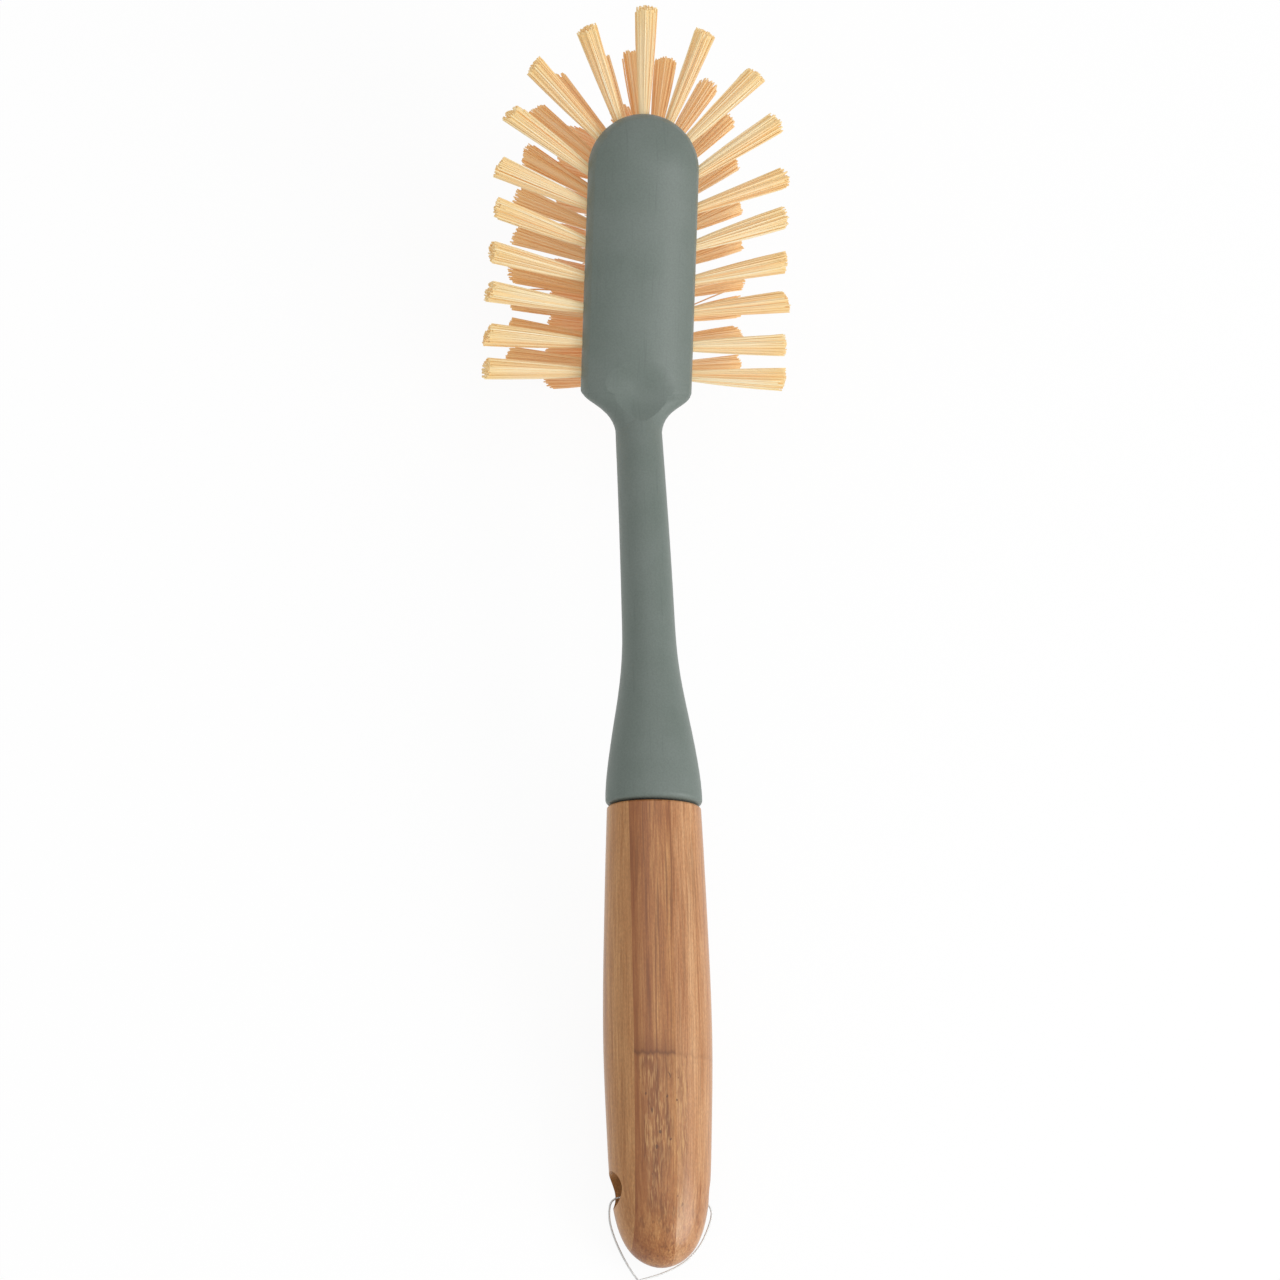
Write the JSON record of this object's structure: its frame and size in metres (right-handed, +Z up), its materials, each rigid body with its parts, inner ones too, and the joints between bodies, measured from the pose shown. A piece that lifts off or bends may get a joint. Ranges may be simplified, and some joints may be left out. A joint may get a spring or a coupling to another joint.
{
  "type": "dish brush",
  "caption": "Long dish brush with an oval laminated bamboo handle, a bent plastic neck and an arched head set with fans of stiff plant fibre tufts.",
  "frame": {"origin": "middle of the brush's length and width, without the hang loop, on the surface that it lies on", "axes": "+Y from the handle's end towards the head, +X to the right with the back of the head up, +Z up out of the surface"},
  "size_m": [0.0694, 0.3201, 0.0626],
  "materials": {
    "sage_plastic": "satin",
    "bamboo_light": "satin",
    "bamboo_dark": "satin",
    "bamboo_mid": "satin",
    "plant_fibre": "matte",
    "anchor_metal": "satin",
    "clear_line": "clear gloss"
  },
  "bodies": {
    "root": {"head_and_neck": "sage_plastic", "handle_strip_left": "bamboo_light", "handle_strip_centre": "bamboo_dark", "handle_strip_right": "bamboo_mid", "tufts_edge_left": "plant_fibre", "tufts_edge_front": "plant_fibre", "tufts_edge_right": "plant_fibre", "tufts_second_left": "plant_fibre", "tufts_second_front": "plant_fibre", "tufts_second_right": "plant_fibre", "tufts_third_left": "plant_fibre", "tufts_third_front": "plant_fibre", "tufts_third_right": "plant_fibre", "tufts_bottom_left": "plant_fibre", "tufts_bottom_right": "plant_fibre", "anchors_edge_left": "anchor_metal", "anchors_edge_front": "anchor_metal", "anchors_edge_right": "anchor_metal", "anchors_second_left": "anchor_metal", "anchors_second_front": "anchor_metal", "anchors_second_right": "anchor_metal", "anchors_third_left": "anchor_metal", "anchors_third_front": "anchor_metal", "anchors_third_right": "anchor_metal", "anchors_bottom_left": "anchor_metal", "anchors_bottom_right": "anchor_metal", "hang_loop_left": "clear_line", "hang_loop_right": "clear_line", "loop_knot": "clear_line"}
  },
  "joints": []
}
